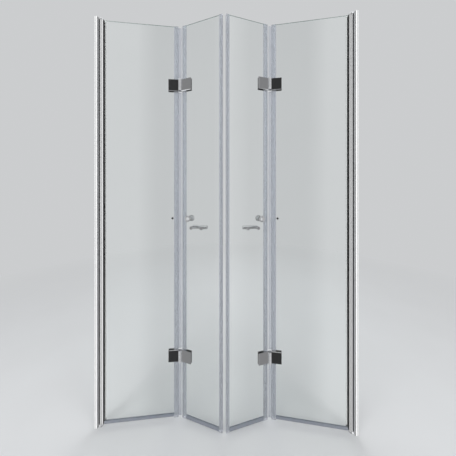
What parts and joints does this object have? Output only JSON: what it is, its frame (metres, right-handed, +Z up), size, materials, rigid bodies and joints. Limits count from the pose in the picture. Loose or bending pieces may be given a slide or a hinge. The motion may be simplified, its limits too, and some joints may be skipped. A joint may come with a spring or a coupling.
{
  "type": "bi-fold shower door",
  "caption": "Frameless glass shower door for a niche: two pairs of panels that fold inwards on chrome hinges between two wall profiles.",
  "frame": {"origin": "on the sill, midway between the walls, in the plane in which the door closes", "axes": "+X left to right seen from outside, +Y into the shower, +Z up"},
  "size_m": [1.2, 0.0953, 1.9],
  "materials": {
    "polished_aluminium": "polished, mirror bright",
    "brushed_aluminium": "satin anodised",
    "chrome": "mirror",
    "stainless_steel": "plain",
    "safety_glass": "clear, toughened",
    "clear_vinyl": "translucent",
    "smoky_vinyl": "translucent, smoky blue",
    "black_rubber": "matte",
    "nylon": "natural",
    "magnet_strip": "matte white"
  },
  "bodies": {
    "wall_profiles": {"bearing_bushes": "nylon", "rail_strips": "black_rubber", "side_screws": "stainless_steel", "left_wall_channel": "polished_aluminium", "left_pivot_profile": "brushed_aluminium", "left_bearing_blocks": "chrome", "right_wall_channel": "polished_aluminium", "right_pivot_profile": "brushed_aluminium", "right_bearing_blocks": "chrome"},
    "left_outer_panel": {"left_pivot_rail": "polished_aluminium", "left_pivot_pins": "stainless_steel", "left_outer_glass": "safety_glass", "left_glazing_gasket": "black_rubber", "left_outer_fold_seal": "clear_vinyl", "left_outer_bottom_seal": "smoky_vinyl", "left_outer_hinge_leaves": "chrome", "left_outer_back_plates": "chrome", "left_outer_hinge_pads": "black_rubber", "left_outer_hinge_screws": "stainless_steel", "left_bumper": "black_rubber"},
    "left_inner_panel": {"left_inner_glass": "safety_glass", "left_inner_fold_seal": "clear_vinyl", "left_inner_bottom_seal": "smoky_vinyl", "left_magnet_seal": "clear_vinyl", "left_magnet_strip": "magnet_strip", "left_inner_hinge_leaves": "chrome", "left_inner_back_plates": "chrome", "left_inner_hinge_pads": "black_rubber", "left_inner_hinge_screws": "stainless_steel", "left_fold_pins": "stainless_steel", "left_outside_knob": "chrome", "left_inside_knob": "chrome", "left_grip_bar": "chrome", "left_handle_fixings": "chrome"},
    "right_outer_panel": {"right_pivot_rail": "polished_aluminium", "right_pivot_pins": "stainless_steel", "right_outer_glass": "safety_glass", "right_glazing_gasket": "black_rubber", "right_outer_fold_seal": "clear_vinyl", "right_outer_bottom_seal": "smoky_vinyl", "right_outer_hinge_leaves": "chrome", "right_outer_back_plates": "chrome", "right_outer_hinge_pads": "black_rubber", "right_outer_hinge_screws": "stainless_steel", "right_bumper": "black_rubber"},
    "right_inner_panel": {"right_inner_glass": "safety_glass", "right_inner_fold_seal": "clear_vinyl", "right_inner_bottom_seal": "smoky_vinyl", "right_magnet_seal": "clear_vinyl", "right_magnet_strip": "magnet_strip", "right_inner_hinge_leaves": "chrome", "right_inner_back_plates": "chrome", "right_inner_hinge_pads": "black_rubber", "right_inner_hinge_screws": "stainless_steel", "right_fold_pins": "stainless_steel", "right_outside_knob": "chrome", "right_inside_knob": "chrome", "right_grip_bar": "chrome", "right_handle_fixings": "chrome"}
  },
  "joints": [
    {"name": "left_wall_pivot", "type": "hinge", "parent": "wall_profiles", "child": "left_outer_panel", "pos_m": [-0.575, 0, 0.95], "axis": [0, 0, 1], "range_deg": [-6.5, 83.5]},
    {"name": "left_fold", "type": "hinge", "parent": "left_outer_panel", "child": "left_inner_panel", "pos_m": [-0.21507, 0.02994, 0.95], "axis": [0, 0, 1], "range_deg": [-142, 22]},
    {"name": "right_wall_pivot", "type": "hinge", "parent": "wall_profiles", "child": "right_outer_panel", "pos_m": [0.575, 0, 0.95], "axis": [0, 0, -1], "range_deg": [-6.5, 83.5]},
    {"name": "right_fold", "type": "hinge", "parent": "right_outer_panel", "child": "right_inner_panel", "pos_m": [0.21507, 0.02994, 0.95], "axis": [0, 0, -1], "range_deg": [-142, 22]}
  ]
}
